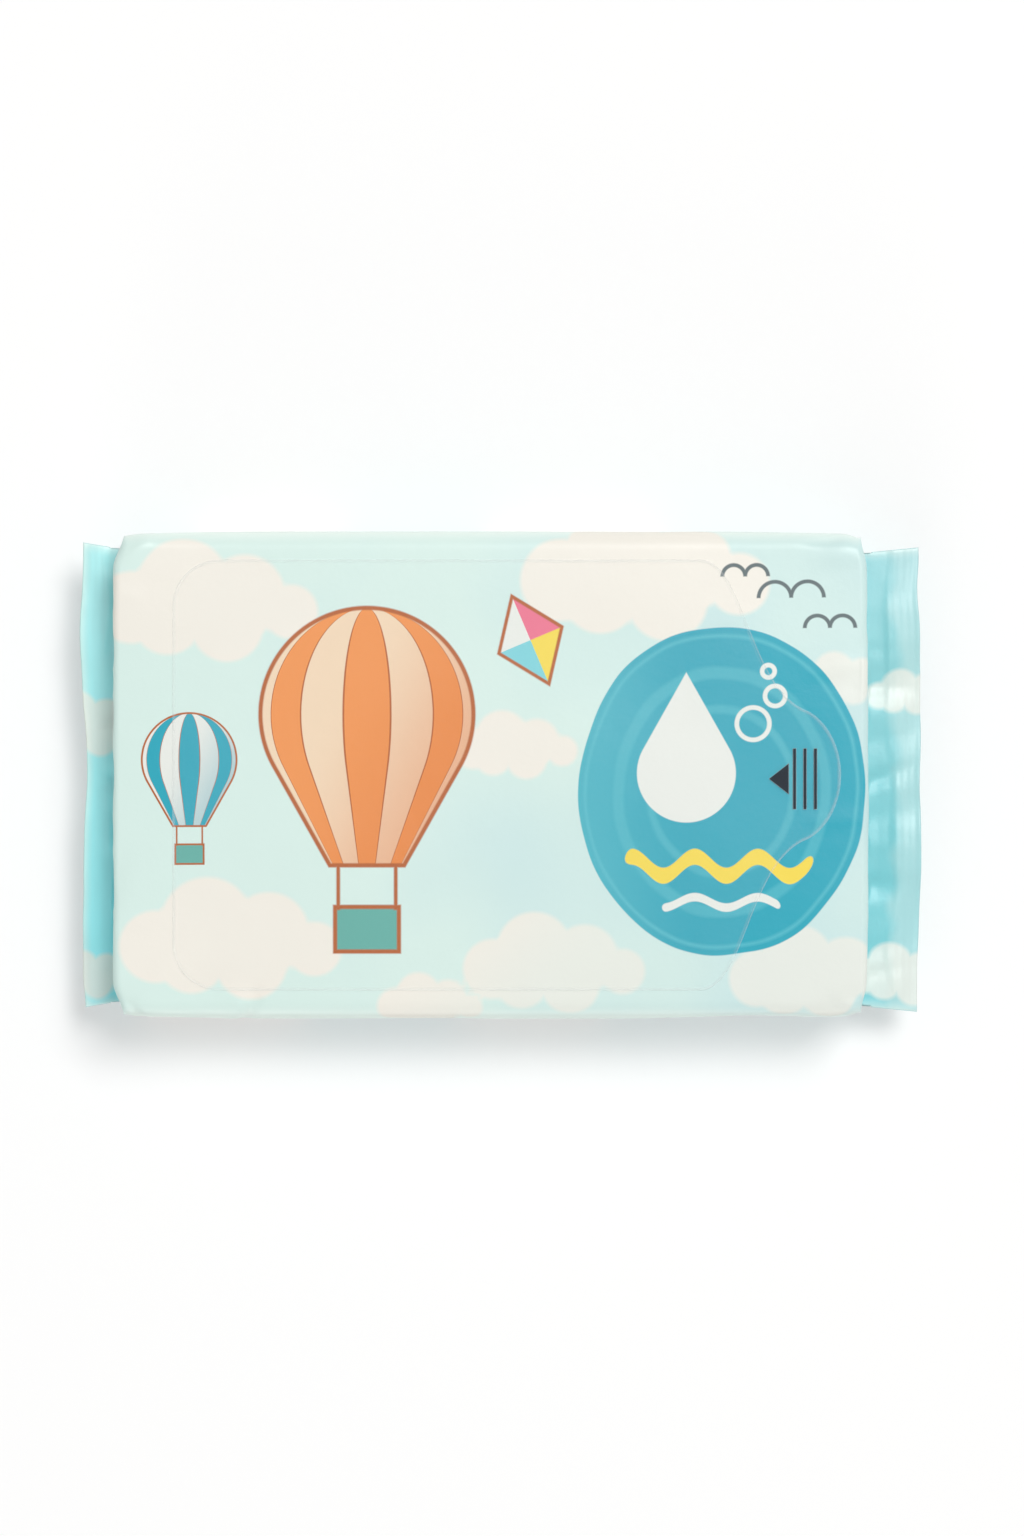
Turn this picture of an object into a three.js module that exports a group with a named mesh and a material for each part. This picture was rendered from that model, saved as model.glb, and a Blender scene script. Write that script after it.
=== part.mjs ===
// A pocket pack of wet wipes, lying on its back: a stack of folded wipes sealed in printed film,
// with a clear peel-back label stuck on its top panel.
// Millimetres, +Z up. The length runs along X, and the label's pull tab points to +X.
// The origin is under the middle of the pack, at the height of the surface it lies on.
import * as THREE from "three";

// The body of the pack, between the creases where its end walls start
const BODY_LENGTH = 79;
const BODY_WIDTH = 51.2;
const BODY_HEIGHT = 13;
const CROWN = 0.6; // how much the middle of the top panel stands above its edges
const EDGE_RADIUS = 2; // along the two long sides
const EDGE_SHARE = 0.3; // of a section's height: the most that an edge's radius takes of it
const CREASE_RADIUS = 0.9; // where the top and bottom panels turn down into the end walls
const END_BOW = 0.6; // how far the stack pushes the middle of an end crease outwards

const WALL_REACH = 0.3; // how far an end wall leans out, from its crease to the end seal

// The end seals: flat fins, a little narrower than the body. The stack sits nearer the left end,
// so more of the film lies flat at the right end.
const LEFT_SEAL_LENGTH = 3.3;
const RIGHT_SEAL_LENGTH = 5.4;
const SEAL_THICKNESS = 0.4;
const SEAL_INSET = 1.2; // each side of the fin at its root, inside the body's side
const SEAL_FLARE = 0.5; // each side of the fin spreads by this much towards its cut edge
const SEAL_DROOP = 0.8; // how far the cut edge hangs below the root
const PINCH_HEIGHT = 1.4; // height of the end wall where the film layers meet
const PINCH_LENGTH = 0.3;

// The back seam: the film's two edges sealed together and folded flat under the pack
const SEAM_WIDTH = 10;
const SEAM_STEP = 0.3; // how far the seam stands out of the bottom panel
const SEAM_CHAMFER = 0.4;

// The label. Its sides are measured in from the flat of the top panel, and its ends from the end creases.
const LABEL_THICKNESS = 0.1;
const ADHESIVE = 0.05; // between the film and the label
const LABEL_SIDE_MARGIN = 0.9;
const LABEL_LEFT_MARGIN = 6;
const LABEL_SHOULDER_MARGIN = 12.5; // from the right crease to the shoulder beside the tab
const LABEL_CORNER = 5;
const TAB_MARGIN = 2.6; // from the right crease to the tip of the tab
const TAB_HALF_WIDTH = 7.4;
const TAB_LENGTH = 5.9; // of the tab's rounded end
const TAB_JOIN_ANGLE = 65; // degrees round the tab's end, where the hollow neck meets it
const TAB_TIP_ANGLE = 6; // degrees either side of the tip, which is cut straight
const NECK_HOLLOW = 1.6; // how far outside the tab's half width the neck curve is drawn from

// How finely the curved surfaces are cut into facets
const PANEL_COLUMNS = 4;
const EDGE_COLUMNS = 4;
const EDGE_TURN = 80; // degrees of an edge's rounding that the columns cover
const BODY_ROWS = 10;
const CREASE_ROWS = 4;
const WALL_ROWS = 5;
const SEAL_ROWS = 3;
const LABEL_COLUMNS = 8;
const LABEL_ROWS = 14;
const CORNER_POINTS = 6;
const NECK_POINTS = 8;
const TAB_POINTS = 8;

const FILM_COLOUR = 0xd2ebe6;
const LABEL_COLOUR = 0xf4fbfb;

const halfLength = BODY_LENGTH / 2;
const halfWidth = BODY_WIDTH / 2;
const panelTop = BODY_HEIGHT - CROWN; // at the panel's edges, where it isn't crowned
const panelBottom = SEAM_STEP;
const sideHeight = panelTop - panelBottom;
const sealHeight = (panelTop + panelBottom) / 2;
const creaseStart = halfLength - CREASE_RADIUS;

// Height of the crowned top panel, which the label follows.
function topPanelHeight(x, y) {
  const along = 1 - (x / creaseStart) ** 4;
  const across = 1 - (y / (halfWidth - EDGE_RADIUS)) ** 2;
  return panelTop + CROWN * Math.max(along, 0) * Math.max(across, 0);
}

// Joins rows of points into one closed surface. The rows follow each other along +X. Each row has as many
// points on top as below, both from -Y to +Y, and it may have one more point at each side.
function loft(rows) {
  const points = [];
  const faces = [];
  const loops = rows.map((row) => {
    const right = row.right ? [row.right] : [];
    const left = row.left ? [row.left] : [];
    const loop = [...row.top, ...right, ...row.bottom.toReversed(), ...left];
    return loop.map((point) => points.push(point) - 1);
  });
  const count = loops[0].length;
  for (let i = 0; i + 1 < loops.length; i++) {
    for (let j = 0; j < count; j++) {
      const next = (j + 1) % count;
      const [a, b, c, d] = [loops[i][j], loops[i][next], loops[i + 1][next], loops[i + 1][j]];
      faces.push(a, d, c, a, c, b);
    }
  }
  const columns = rows[0].top.length;
  const hasSides = Boolean(rows[0].right);
  const cap = (loop, facesForward) => {
    const triangle = (a, b, c) => faces.push(...(facesForward ? [a, c, b] : [a, b, c]));
    const below = (j) => loop[2 * columns - 1 - j + (hasSides ? 1 : 0)];
    for (let j = 0; j + 1 < columns; j++) {
      triangle(loop[j], loop[j + 1], below(j + 1));
      triangle(loop[j], below(j + 1), below(j));
    }
    if (hasSides) {
      triangle(loop[columns - 1], loop[columns], below(columns - 1));
      triangle(loop[0], below(0), loop[count - 1]);
    }
  };
  cap(loops[0], false);
  cap(loops.at(-1), true);
  const geometry = new THREE.BufferGeometry().setFromPoints(points);
  geometry.setIndex(faces);
  geometry.computeVertexNormals();
  return geometry;
}

// One cross-section of the pack. The tuck is how deep the side wall is folded in at its mid-height.
function packRow({ x, bow = 0, width, top, bottom, crowned = false, tuck = 0 }) {
  const radius = Math.min(EDGE_RADIUS, EDGE_SHARE * (top - bottom));
  const flat = width - radius;
  const seamEdge = SEAM_WIDTH / 2;
  const half = [{ y: 0, drop: 0, seam: SEAM_STEP }];
  half.push({ y: seamEdge - SEAM_CHAMFER, drop: 0, seam: SEAM_STEP });
  for (let i = 0; i <= PANEL_COLUMNS; i++) {
    half.push({ y: THREE.MathUtils.lerp(seamEdge, flat, i / PANEL_COLUMNS), drop: 0, seam: 0 });
  }
  for (let i = 1; i <= EDGE_COLUMNS; i++) {
    const angle = THREE.MathUtils.degToRad((EDGE_TURN * i) / EDGE_COLUMNS);
    half.push({ y: flat + radius * Math.sin(angle), drop: radius * (1 - Math.cos(angle)), seam: 0 });
  }
  const mirrored = half.slice(1).reverse().map((column) => ({ ...column, y: -column.y }));
  const columns = [...mirrored, ...half];
  const bowed = (y) => x + bow * (1 - (y / width) ** 2);
  const middle = (top + bottom) / 2;
  const topOf = ({ y }) => (crowned ? topPanelHeight(x, y) : top);
  return {
    top: columns.map((c) => new THREE.Vector3(bowed(c.y), c.y, topOf(c) - c.drop)),
    bottom: columns.map((c) => new THREE.Vector3(bowed(c.y), c.y, bottom - c.seam + c.drop)),
    right: new THREE.Vector3(x, width - tuck, middle),
    left: new THREE.Vector3(x, tuck - width, middle),
  };
}

// The rows of one end, from the crease outwards to the cut edge of the seal. Side is -1 or 1.
function endRows(side, sealLength) {
  const crease = new THREE.QuadraticBezierCurve(
    new THREE.Vector2(creaseStart, panelTop),
    new THREE.Vector2(halfLength, panelTop),
    new THREE.Vector2(halfLength, panelTop - CREASE_RADIUS),
  );
  const pinchTop = sealHeight + PINCH_HEIGHT / 2;
  const wall = new THREE.LineCurve(crease.v2, new THREE.Vector2(halfLength + WALL_REACH, pinchTop));
  const profile = [...crease.getPoints(CREASE_ROWS), ...wall.getPoints(WALL_ROWS).slice(1)];
  const rootWidth = halfWidth - SEAL_INSET;
  const rows = profile.map((point, i) => {
    const share = i / (profile.length - 1);
    const height = 2 * (point.y - sealHeight);
    return packRow({
      x: side * point.x,
      bow: side * END_BOW * (1 - share),
      width: THREE.MathUtils.lerp(halfWidth, rootWidth, share),
      top: point.y,
      bottom: 2 * sealHeight - point.y,
      tuck: Math.sqrt(Math.max(sideHeight ** 2 - height ** 2, 0)) / 2,
    });
  });
  const rootX = halfLength + WALL_REACH + PINCH_LENGTH;
  for (let i = 0; i <= SEAL_ROWS; i++) {
    const share = i / SEAL_ROWS;
    const height = sealHeight - SEAL_DROOP * share ** 2;
    rows.push(
      packRow({
        x: side * (rootX + sealLength * share),
        width: rootWidth + SEAL_FLARE * share,
        top: height + SEAL_THICKNESS / 2,
        bottom: height - SEAL_THICKNESS / 2,
      }),
    );
  }
  return rows;
}

function filmPack() {
  const bodyRows = [];
  for (let i = 1; i < BODY_ROWS; i++) {
    const x = THREE.MathUtils.lerp(-creaseStart, creaseStart, i / BODY_ROWS);
    bodyRows.push(
      packRow({
        x,
        bow: Math.sign(x) * END_BOW * (x / creaseStart) ** 4,
        width: halfWidth,
        top: panelTop,
        bottom: panelBottom,
        crowned: true,
      }),
    );
  }
  const leftRows = endRows(-1, LEFT_SEAL_LENGTH).reverse();
  return loft([...leftRows, ...bodyRows, ...endRows(1, RIGHT_SEAL_LENGTH)]);
}

// Half of the label's outline, as points from its left edge to the tip of its tab.
function labelOutline() {
  const left = LABEL_LEFT_MARGIN - halfLength;
  const side = halfWidth - EDGE_RADIUS - LABEL_SIDE_MARGIN;
  const shoulder = halfLength - LABEL_SHOULDER_MARGIN;
  const tabMiddle = halfLength - TAB_MARGIN - TAB_LENGTH;
  const joinAngle = THREE.MathUtils.degToRad(TAB_JOIN_ANGLE);
  const tipAngle = THREE.MathUtils.degToRad(TAB_TIP_ANGLE);
  const corner = new THREE.EllipseCurve(
    left + LABEL_CORNER, side - LABEL_CORNER, LABEL_CORNER, LABEL_CORNER, Math.PI, Math.PI / 2, true,
  );
  const tab = new THREE.EllipseCurve(
    tabMiddle, 0, TAB_LENGTH, TAB_HALF_WIDTH, joinAngle, tipAngle, true,
  );
  const edge = new THREE.LineCurve(corner.getPoint(1), new THREE.Vector2(shoulder - LABEL_CORNER, side));
  const neck = new THREE.CubicBezierCurve(
    edge.v2,
    new THREE.Vector2(shoulder, side),
    new THREE.Vector2(shoulder, TAB_HALF_WIDTH + NECK_HOLLOW),
    tab.getPoint(0),
  );
  return [
    ...corner.getPoints(CORNER_POINTS),
    ...edge.getPoints(LABEL_ROWS).slice(1),
    ...neck.getPoints(NECK_POINTS).slice(1),
    ...tab.getPoints(TAB_POINTS).slice(1),
  ];
}

function resealLabel() {
  const rows = labelOutline().map(({ x, y: reach }) => {
    const row = { top: [], bottom: [] };
    for (let i = 0; i <= LABEL_COLUMNS; i++) {
      const y = THREE.MathUtils.lerp(-reach, reach, i / LABEL_COLUMNS);
      const underside = topPanelHeight(x, y) + ADHESIVE;
      row.bottom.push(new THREE.Vector3(x, y, underside));
      row.top.push(new THREE.Vector3(x, y, underside + LABEL_THICKNESS));
    }
    return row;
  });
  return loft(rows);
}

function named(name, geometry, material) {
  const mesh = new THREE.Mesh(geometry, new THREE.MeshStandardMaterial({ metalness: 0, ...material }));
  mesh.name = name;
  return mesh;
}

const pack = new THREE.Group();
pack.add(named("film_pack", filmPack(), { color: FILM_COLOUR, roughness: 0.35 }));
pack.add(
  named("reseal_label", resealLabel(), {
    color: LABEL_COLOUR, roughness: 0.15, transparent: true, opacity: 0.2,
  }),
);
// The longer right end is balanced, so that the origin stays under the middle of the overall length.
pack.position.x = (LEFT_SEAL_LENGTH - RIGHT_SEAL_LENGTH) / 2;

const part = new THREE.Group();
part.add(pack);
export default part;
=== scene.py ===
"""Looks of a pocket pack of wet wipes: the printed film round the stack, and the clear label on its top.

The film is made over the coordinates of its flat sheet, in millimetres. "Along" runs down the length of the
pack from the middle of its body, and "around" runs round its girth from the middle of the top panel.
"""

import math

import bpy
import numpy as np
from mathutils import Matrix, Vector
from mathutils.bvhtree import BVHTree


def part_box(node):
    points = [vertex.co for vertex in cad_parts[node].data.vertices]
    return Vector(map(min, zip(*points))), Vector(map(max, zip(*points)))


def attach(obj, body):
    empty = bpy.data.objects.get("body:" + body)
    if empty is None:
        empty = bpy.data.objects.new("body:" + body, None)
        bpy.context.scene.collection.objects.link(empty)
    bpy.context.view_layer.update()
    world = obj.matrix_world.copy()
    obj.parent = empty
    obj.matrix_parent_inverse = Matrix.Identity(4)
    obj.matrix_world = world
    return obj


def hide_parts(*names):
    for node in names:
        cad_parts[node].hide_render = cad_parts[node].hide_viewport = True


bl_info = {
    "name": "Wet Wipes Pack",
    "version": (1, 0, 0),
    "blender": (4, 5, 0),
    "location": "View3D > Sidebar > Wipes",
    "description": "Builds the printed film and the clear label of a pocket pack of wet wipes",
    "category": "Add Mesh",
}

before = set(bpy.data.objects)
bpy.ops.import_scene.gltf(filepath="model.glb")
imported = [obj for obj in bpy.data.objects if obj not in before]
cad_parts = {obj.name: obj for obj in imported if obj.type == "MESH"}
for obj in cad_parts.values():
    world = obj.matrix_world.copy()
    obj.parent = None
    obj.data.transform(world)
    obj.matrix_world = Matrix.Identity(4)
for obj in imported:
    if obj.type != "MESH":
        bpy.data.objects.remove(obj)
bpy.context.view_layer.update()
PACK_LOW, PACK_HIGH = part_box("film_pack")
_, LABEL_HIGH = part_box("reseal_label")
MM = 0.001
FILM_GLOSS = 0.045  # light that the film's gloss adds to an ink, on the linear scale
SHEET_SPAN = 130.0  # millimetres of flat film across the whole UV square
LABEL_SHIFT = 30.0  # millimetres from the label's middle to the middle of the UV square, up for its top


def srgb(red, green, blue):
    """A screen colour, from 0 to 255, as the linear colour that a node takes."""
    values = [c / 255 for c in (red, green, blue)]
    return tuple(c / 12.92 if c <= 0.04045 else ((c + 0.055) / 1.055) ** 2.4 for c in values)


def printed(red, green, blue):
    """An ink's own colour, from its look on the pack, where the film's gloss is added to it."""
    return tuple(max(c - FILM_GLOSS, 0.0) for c in srgb(red, green, blue))


def length(name, description, default):
    return bpy.props.FloatProperty(
        name=name, description=description, default=default, min=0, unit="LENGTH", precision=5
    )


def colour(name, description, default):
    return bpy.props.FloatVectorProperty(
        name=name, description=description, default=default, size=3, min=0, max=1, subtype="COLOR"
    )


def power(name, description, default):
    return bpy.props.FloatProperty(name=name, description=description, default=default, min=0, unit="POWER")


class FilmSettings(bpy.types.PropertyGroup):
    """Sizes of the film wrapper."""

    body_length: length("Body length", "Between the creases at the two ends", 0.079)
    body_width: length("Body width", "Across the two long sides", PACK_HIGH.y - PACK_LOW.y)
    edge_height: length("Edge height", "Height of the top panel at its edges", 0.0124)
    crown: length("Crown", "Rise of the middle of the top panel over its edges", 0.0006)
    edge_radius: length("Edge radius", "Rounding along the two long sides", 0.002)
    crease_radius: length("Crease radius", "Rounding where a panel turns into an end wall", 0.0008)
    wall_reach: length("Wall reach", "How far an end wall leans out", 0.0003)
    left_bow: length("Left bow", "How far the stack pushes out the middle of the left end", 0.00037)
    right_bow: length("Right bow", "How far the stack pushes out the middle of the right end", 0.0003)
    left_lean: length("Left lean", "How far the left end falls back at its corners", 0.00085)
    right_lean: length("Right lean", "How far the right end falls back at its corners", 0.00045)
    side_hollow: length("Side hollow", "How far the tucks draw in the long sides at their ends", 0.0013)
    left_pull: length("Left corner pull", "How far the left corners are drawn in from the sides", 0.0002)
    right_pull: length("Right corner pull", "How far the right corners are drawn in from the sides", 0.0005)
    left_seal: length("Left seal", "From the left end wall to the cut edge", 0.0036)
    right_seal: length("Right seal", "From the right end wall to the cut edge", 0.0057)
    seal_band: length("Seal band", "Of an end seal, from its cut edge to where the layers part", 0.0031)
    seal_thickness: length("Seal thickness", "Of the film layers in an end seal", 0.00022)
    seal_inset: length("Seal inset", "Each side of an end seal at its root, inside the body's side", 0.0015)
    seal_flare: length("Seal flare", "How far each side of an end seal spreads", 0.0006)
    seal_droop: length("Seal droop", "How far the cut edge hangs below the root", 0.0006)
    seal_wave: length("Seal wave", "Height of the waves along a cut edge", 0.0005)
    right_drop: length("Right seal drop", "How far the right seal is off the middle line", 0.0005)
    crimp_depth: length("Crimp depth", "Height of the ribs pressed into an end seal", 0.00001)
    crimp_pitch: length("Crimp pitch", "From one pressed rib to the next", 0.0008)
    seam_width: length("Back seam width", "Of the folded seam under the pack", 0.010)
    seam_step: length("Back seam step", "How far the seam stands out of the bottom panel", 0.0003)
    wrinkle_depth: length("Wrinkle depth", "Height of the slack film's wrinkles", 0.0003)


class LabelSettings(bpy.types.PropertyGroup):
    """Sizes of the clear label."""

    left: length("Left margin", "From the left crease to the label", 0.006)
    side: length("Half width", "From the middle line to the label's long edge", LABEL_HIGH.y)
    corner: length("Corner radius", "Of the label's corners", 0.005)
    shoulder: length("Shoulder margin", "From the right crease to the shoulder beside the tab", 0.0125)
    tab_margin: length("Tab margin", "From the right crease to the tip of the tab", 0.0026)
    tab_length: length("Tab length", "Of the tab's rounded end", 0.0059)
    tab_half_width: length("Tab half width", "Of the tab's rounded end", 0.0074)
    neck: length("Neck hollow", "How far outside the tab the neck's curve is drawn from", 0.0016)
    thickness: length("Thickness", "Of the clear label", 0.0001)
    adhesive: length("Adhesive", "Between the film and the label", 0.00004)
    tab_lift: length("Tab lift", "How far the tip of the tab stands off the film", 0.0001)


class PrintSettings(bpy.types.PropertyGroup):
    """Colours of the printed film, with its painted highlight and painted shade, and of the label's ink."""

    sky: colour("Sky", "Pale ground of the print", printed(220, 241, 234))
    sky_cool: colour("Cool sky", "Patches of the ground that are a little bluer", printed(204, 231, 231))
    # deeper ground of the right end and the sides; at the ends it is also painted shade, deepest next to the
    # body
    deep_ground_and_shade: colour("Right end band", "Deeper ground of the right end and the sides", printed(138, 208, 214))
    # painted light: the left end band is brighter, to make up for the body's shadow on the left seal
    left_band_painted_light: colour("Left end band", "Brighter ground at the left end", printed(156, 243, 249))
    # painted highlight: a paler band along the two long edges, where their rounding catches the light
    edge_highlight: colour("Long edges", "Paler ground along the two long edges", printed(244, 254, 247))
    cloud: colour("Cloud", "Clouds", printed(244, 240, 230))
    teal: colour("Teal", "Round field on the right", printed(68, 171, 190))
    teal_light: colour("Light teal", "Ripples in the round field", printed(104, 194, 206))
    orange: colour("Orange", "Dark gores of the large balloon", printed(240, 156, 94))
    orange_deep: colour("Deep orange", "Shaded side of the large balloon", printed(222, 128, 68))
    cream: colour("Cream", "Light gores of the large balloon", printed(243, 219, 190))
    basket: colour("Basket", "Baskets of the balloons", printed(110, 178, 168))
    outline: colour("Outline", "Drawn lines round the balloons and the kite", printed(182, 106, 66))
    pink: colour("Pink", "Part of the kite", printed(236, 128, 152))
    yellow: colour("Yellow", "Wave in the round field, and part of the kite", printed(246, 221, 98))
    blue: colour("Light blue", "Part of the kite", printed(138, 214, 222))
    white: colour("White", "Drop, bubbles and wave in the round field", printed(236, 239, 233))
    grey: colour("Grey", "Birds", printed(104, 116, 118))
    ink: colour("Label ink", "Opening mark on the label", printed(52, 64, 70))


class StageSettings(bpy.types.PropertyGroup):
    """Camera, lamps and floor."""

    camera_height: length("Camera height", "From the top panel to the camera", 0.55)
    camera_right: length("Camera right", "From the pack's middle to the camera, along the pack", 0.00121)
    camera_up: length("Camera up", "From the pack's middle to the camera, across the pack", 0.00074)
    view_height: length("View height", "Seen from the top to the bottom of the picture", 0.1616)
    floor_reach: length("Floor reach", "From the middle of the floor to its edges", 3.0)
    floor: colour("Floor", "Plain pale floor", (0.985, 0.983, 0.976))
    whitening: bpy.props.FloatProperty(
        name="Whitening",
        description="Share of plain white in the floor as it is seen",
        default=0.38,
        min=0,
        max=1,
        subtype="FACTOR",
    )
    sky_strength: bpy.props.FloatProperty(
        name="Room light", description="Light from all round", default=0.34, min=0
    )
    key_power: power("Key lamp", "Power of the soft lamp at the upper right", 72.0)
    fill_power: power("Fill lamp", "Power of the soft lamp at the lower left", 9.0)
    edge_power: power("Edge lamp", "Power of the low lamp that lights the near side", 7.0)


# Shapes made of points

ARC_POINTS = 25  # on each rounded corner of a path
NOISE_CELLS = 64  # along each side of a noise table, before it repeats


def rounded_path(corners, radii):
    """Points of a path with rounded inner corners, the length up to each, and up to each corner's middle."""
    corners = [np.array(c, float) for c in corners]
    runs, middles = [corners[:1]], []
    for before, corner, after, radius in zip(corners, corners[1:], corners[2:], radii):
        back = (before - corner) / np.linalg.norm(before - corner)
        ahead = (after - corner) / np.linalg.norm(after - corner)
        half = math.acos(np.clip(back @ ahead, -1, 1)) / 2
        middle_way = (back + ahead) / np.linalg.norm(back + ahead)
        centre = corner + middle_way * radius / math.sin(half)
        start, end = corner + back * radius / math.tan(half), corner + ahead * radius / math.tan(half)
        first = math.atan2(*(start - centre)[::-1])
        turn = (math.atan2(*(end - centre)[::-1]) - first + math.pi) % (2 * math.pi) - math.pi
        angles = first + turn * np.linspace(0, 1, ARC_POINTS)
        runs.append(centre + radius * np.column_stack([np.cos(angles), np.sin(angles)]))
        middles.append(sum(len(r) for r in runs) - (ARC_POINTS + 1) // 2)
    runs.append(corners[-1:])
    points = np.vstack(runs)
    run = np.concatenate([[0], np.cumsum(np.linalg.norm(np.diff(points, axis=0), axis=1))])
    return points, run, [run[m] for m in middles]


def points_at(points, run, places):
    """Points at these lengths along a path."""
    return np.column_stack([np.interp(places, run, points[:, i]) for i in range(points.shape[1])])


def ramp(values, low, high):
    """0 below low and 1 above high, with a smooth rise between them."""
    t = np.clip((values - low) / (high - low), 0, 1)
    return t * t * (3 - 2 * t)


def noise(x, y, seed):
    """Seeded smooth noise from -1 to 1, with cells one unit wide."""
    table = np.random.default_rng(seed).uniform(-1, 1, (NOISE_CELLS, NOISE_CELLS))
    column, row = np.floor(x).astype(int), np.floor(y).astype(int)
    fx, fy = x - column, y - row
    fx, fy = (f**3 * (f * (6 * f - 15) + 10) for f in (fx, fy))

    def corner(i, j):
        return table[(column + i) % NOISE_CELLS, (row + j) % NOISE_CELLS]

    low = corner(0, 0) * (1 - fx) + corner(1, 0) * fx
    high = corner(0, 1) * (1 - fx) + corner(1, 1) * fx
    return low * (1 - fy) + high * fy


def creased(waves):
    """Noise with its middle drawn up into sharp ridges, as in film that was folded and pulled flat."""
    return 1 - 2 * np.abs(waves)


class FilmShape:
    """Works out where each point of the flat film goes. Sizes are in millimetres."""

    ROOT_RADIUS = 0.4  # rounding where an end wall turns into its seal
    SIDE_TURN = 0.08  # room that the film takes to turn at the side of a flat seal
    CREASE_ZONE, ROOT_ZONE = 0.8, 0.5  # rows are close this far each side of a crease and of a seal's root
    ROW_STEPS = (0.62, 0.12, 0.3, 0.12, 0.13)  # between rows on the panel, crease, end wall, root and seal
    SEAM_SPACING = 0.6  # between columns over the back seam
    SEAM_EDGE, SEAM_CLEAR = 0.1, 0.5  # columns close to the seam's edge, and the first one clear of it
    PANEL_COLUMNS, ARC_COLUMNS, SIDE_COLUMNS = 34, 7, 10

    def __init__(self, film):
        for name in film.__annotations__:
            setattr(self, name, getattr(film, name) / MM)
        self.half_length = self.body_length / 2
        self.half_width = self.body_width / 2
        self.half_height = (self.edge_height - self.seam_step) / 2
        self.middle = (self.edge_height + self.seam_step) / 2
        self.flat = self.half_width - self.edge_radius
        self.origin_x = (self.left_seal - self.right_seal) / 2

    def end_path(self, seal):
        """The film's profile from the middle of the body to a cut edge: outward place and half height."""
        layers = self.seal_thickness / 2
        root = self.half_length + self.wall_reach
        corners = [
            (0, self.half_height),
            (self.half_length, self.half_height),
            (root, layers),
            (root + seal, layers),
        ]
        return rounded_path(corners, [self.crease_radius, self.ROOT_RADIUS])

    def rows(self):
        """Rows across the film: place along it, outward place, half height, and length past the wall."""
        rows = set()
        for side, seal in ((-1, self.left_seal), (1, self.right_seal)):
            points, run, (crease, root) = self.end_path(seal)
            marks = [0, crease - self.CREASE_ZONE, crease + self.CREASE_ZONE]
            marks += [root - self.ROOT_ZONE, root + self.ROOT_ZONE, run[-1]]
            places = [run[-1:]]
            for low, high, step in zip(marks, marks[1:], self.ROW_STEPS):
                places.append(np.linspace(low, high, round((high - low) / step), endpoint=False))
            places = np.concatenate(places)
            for place, (out, half_height) in zip(places, points_at(points, run, places)):
                rows.add((side * place, side * out, half_height, place - root))
        return sorted(rows)

    def columns(self):
        """Places across a quarter of the girth: over the panel to its edge, and down the side."""
        seam = self.seam_width / 2
        arc = self.edge_radius * math.pi / 4
        turn = arc * np.linspace(0, 1, self.ARC_COLUMNS)[1:]
        over = np.concatenate([
            np.arange(0, seam - self.SEAM_SPACING / 2, self.SEAM_SPACING),
            [seam - self.SEAM_EDGE, seam, seam + self.SEAM_EDGE],
            np.linspace(seam + self.SEAM_CLEAR, self.flat, self.PANEL_COLUMNS),
            self.flat + turn,
        ])
        side = self.half_height - self.edge_radius
        down = np.concatenate([turn, arc + side * np.linspace(0, 1, self.SIDE_COLUMNS)[1:]])
        return over, down

    def quarter(self, half_height, width, tuck):
        """A quarter of one cross-section: the panel to its edge, and the side to the bottom of the tuck."""
        fullness = (half_height / self.half_height) ** 2
        turn_in = self.SIDE_TURN + (self.edge_radius - self.SIDE_TURN) * fullness
        half_angle = math.atan2(half_height, tuck) / 2
        radius = turn_in * math.tan(half_angle)
        tip = width + turn_in - radius
        corners = [(0, half_height), (tip, half_height), (width - tuck, 0)]
        points, run, (edge,) = rounded_path(corners, [radius])
        over, down = self.columns()
        panel = points_at(points, run, over / over[-1] * edge)
        side = points_at(points, run, edge + down / down[-1] * (run[-1] - edge))
        return np.vstack([panel, side])


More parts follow.
